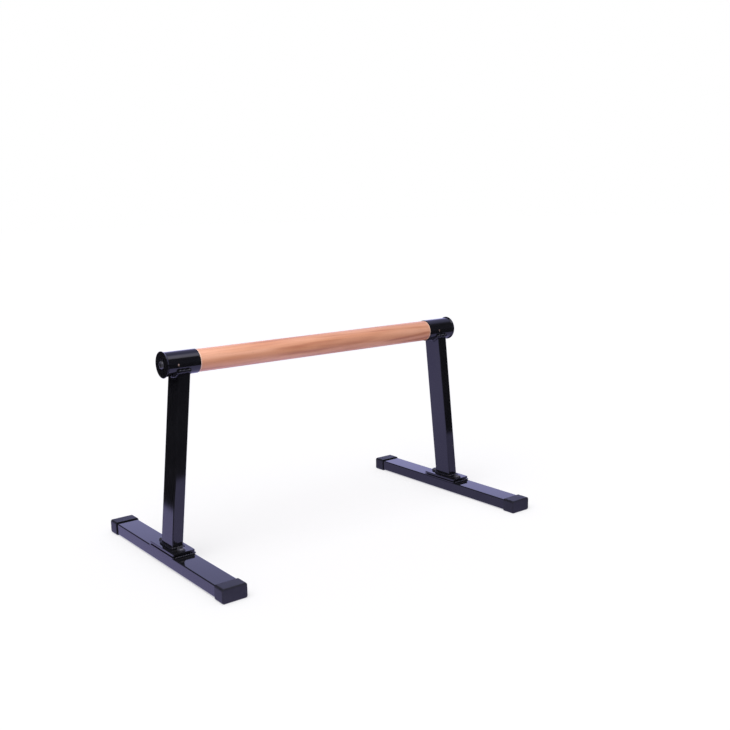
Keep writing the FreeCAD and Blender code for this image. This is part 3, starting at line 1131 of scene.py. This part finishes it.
ray = add_node(tree, "LightPath")
glow = add_node(tree, "Emission", {"Color": linear("#ffffff")},
                {"Strength": glow_level.outputs["Value"]})
shade = add_node(tree, "BsdfDiffuse", {"Color": grey(SHADOW_SHARE)})
seen = add_node(tree, "AddShader", links={0: glow.outputs["Emission"], 1: shade.outputs["BSDF"]})
matt = add_node(tree, "BsdfDiffuse", {"Color": linear("#eeeaf6")})
lit = add_node(tree, "MixShader", links={
    0: ray.outputs["Is Camera Ray"], 1: matt.outputs["BSDF"], 2: seen.outputs["Shader"]})
mirrored = add_node(tree, "Emission", {"Color": PAPER_MIRRORED},
                    {"Strength": on_paper.outputs["Result"]})
surface = add_node(tree, "MixShader", links={
    0: ray.outputs["Is Glossy Ray"], 1: lit.outputs["Shader"], 2: mirrored.outputs["Emission"]})
tree.links.new(surface.outputs["Shader"], output.inputs["Surface"])
floor.data.materials.append(paper)
print("floor material:", len(tree.nodes), "nodes")

# %% [markdown]
# ## The studio
#
# Gloss paint needs something to mirror. Behind the bar the paper curves up and
# grows darker with height. To the left of the paper the room is dim, and in
# front of the bar, to the right of the camera, it is dark. Each is a simple test
# on the direction in which a mirrored ray leaves.

# %% The sweep and the room
SWEEP_STOPS = (
    # Z of the direction, brightness of the sweep there
    (0.0, 1.0),
    (0.28, 0.92),
    (0.36, 0.70),
    (0.5, 0.42),
    (0.8, 0.38),
)
SWEEP_LIGHT = (1.05, 1.05, 1.9, 1.0)
SWEEP_LEFT = 0.05                    # X of the direction: the room is dim up to here
SWEEP_RIGHT = 0.35                   # and the sweep is at its full brightness from here
ROOM_LEVEL = 0.12
DARK_TOWARDS = (0.6, -0.75, 0.28)
DARK_START, DARK_FULL = 0.62, 0.85   # cosines to that direction where the dark starts and is full
DARK_LEVEL = 0.03

world = bpy.data.worlds.new("studio")
world.use_nodes = True
tree = world.node_tree
tree.nodes.clear()
direction = add_node(tree, "TexCoord").outputs["Generated"]
split = add_node(tree, "SeparateXYZ", links={"Vector": direction})
height = add_node(tree, "ValToRGB", links={"Fac": split.outputs["Z"]})
stops = height.color_ramp.elements
while len(stops) < len(SWEEP_STOPS):
    stops.new(1.0)
for stop, (position, level) in zip(stops, SWEEP_STOPS):
    stop.position = position
    stop.color = grey(level)
sweep = add_node(tree, "Mix", {"Factor": 1.0, "B": SWEEP_LIGHT}, {"A": height.outputs["Color"]},
                 data_type="RGBA", blend_type="MULTIPLY")
sweep_edge = add_node(tree, "MapRange", {
    "From Min": SWEEP_LEFT, "From Max": SWEEP_RIGHT, "To Min": ROOM_LEVEL,
}, {"Value": split.outputs["X"]})
towards_dark = add_node(tree, "VectorMath", {1: DARK_TOWARDS}, {0: direction},
                        operation="DOT_PRODUCT")
open_room = add_node(tree, "MapRange", {
    "From Min": DARK_START, "From Max": DARK_FULL, "To Max": DARK_LEVEL,
}, {"Value": towards_dark.outputs["Value"], "To Min": sweep_edge.outputs["Result"]})
sweep_light = add_node(tree, "Background", links={
    "Color": sweep.outputs["Result"], "Strength": open_room.outputs["Result"]})
print("sweep:", [(round(stop.position, 2), round(stop.color[0], 2)) for stop in stops])

# %% [markdown]
# ### A bright panel overhead
#
# A pale panel hangs over the bar, a little in front, and gives the sleeves their
# bright band. It has four soft edges. Each is a ramp along one axis of the
# mirrored direction, and each ramp passes on what the one before left bright.

# %% The panel and the world
PANEL_EDGES = (
    # axis of the direction, where the panel is still dark, where it is fully bright
    ("Z", 0.55, 0.70),
    ("Y", -0.58, -0.48),
    ("Y", 0.12, -0.27),
    ("X", 0.66, 0.45),
)
PANEL_LIGHT = (1.6, 1.55, 1.85, 1.0)

panel = None
for axis, dark, bright in PANEL_EDGES:
    links = {"Value": split.outputs[axis]}
    if panel:
        links["To Max"] = panel
    panel = add_node(tree, "MapRange", {"From Min": dark, "From Max": bright},
                     links).outputs["Result"]
panel_light = add_node(tree, "Background", {"Color": PANEL_LIGHT}, {"Strength": panel})
mirrored = add_node(tree, "AddShader", links={
    0: sweep_light.outputs["Background"], 1: panel_light.outputs["Background"]})
white = add_node(tree, "Background", {"Color": linear("#ffffff"), "Strength": 1.0})
ambient = add_node(tree, "Background", {"Color": linear("#f2f0fa"), "Strength": AMBIENT_LIGHT})
ray = add_node(tree, "LightPath")
lit = add_node(tree, "MixShader", links={
    0: ray.outputs["Is Camera Ray"], 1: ambient.outputs["Background"],
    2: white.outputs["Background"]})
surface = add_node(tree, "MixShader", links={
    0: ray.outputs["Is Glossy Ray"], 1: lit.outputs["Shader"], 2: mirrored.outputs["Shader"]})
add_node(tree, "OutputWorld", links={"Surface": surface.outputs["Shader"]})
bpy.context.scene.world = world
print("world:", len(tree.nodes), "nodes")

# %% [markdown]
# ## Light
#
# One large softbox hangs above the left end of the bar, and the world fills the
# shadows. Together they light a surface that faces up to about the level at
# which a colour renders as it is written. The world already holds the panel that
# gloss paint mirrors, so the lamp itself stays out of reflections.

# %% Softbox
softbox_data = bpy.data.lights.new("softbox", "AREA")
softbox_data.energy = SOFTBOX_POWER
softbox_data.size = SOFTBOX_SIZE
softbox = bpy.data.objects.new("softbox", softbox_data)
bpy.context.collection.objects.link(softbox)
softbox.location = SOFTBOX_PLACE
softbox.rotation_euler = softbox_axis.to_track_quat("-Z", "Y").to_euler()
softbox.visible_glossy = False
print("softbox at", tuple(softbox.location))
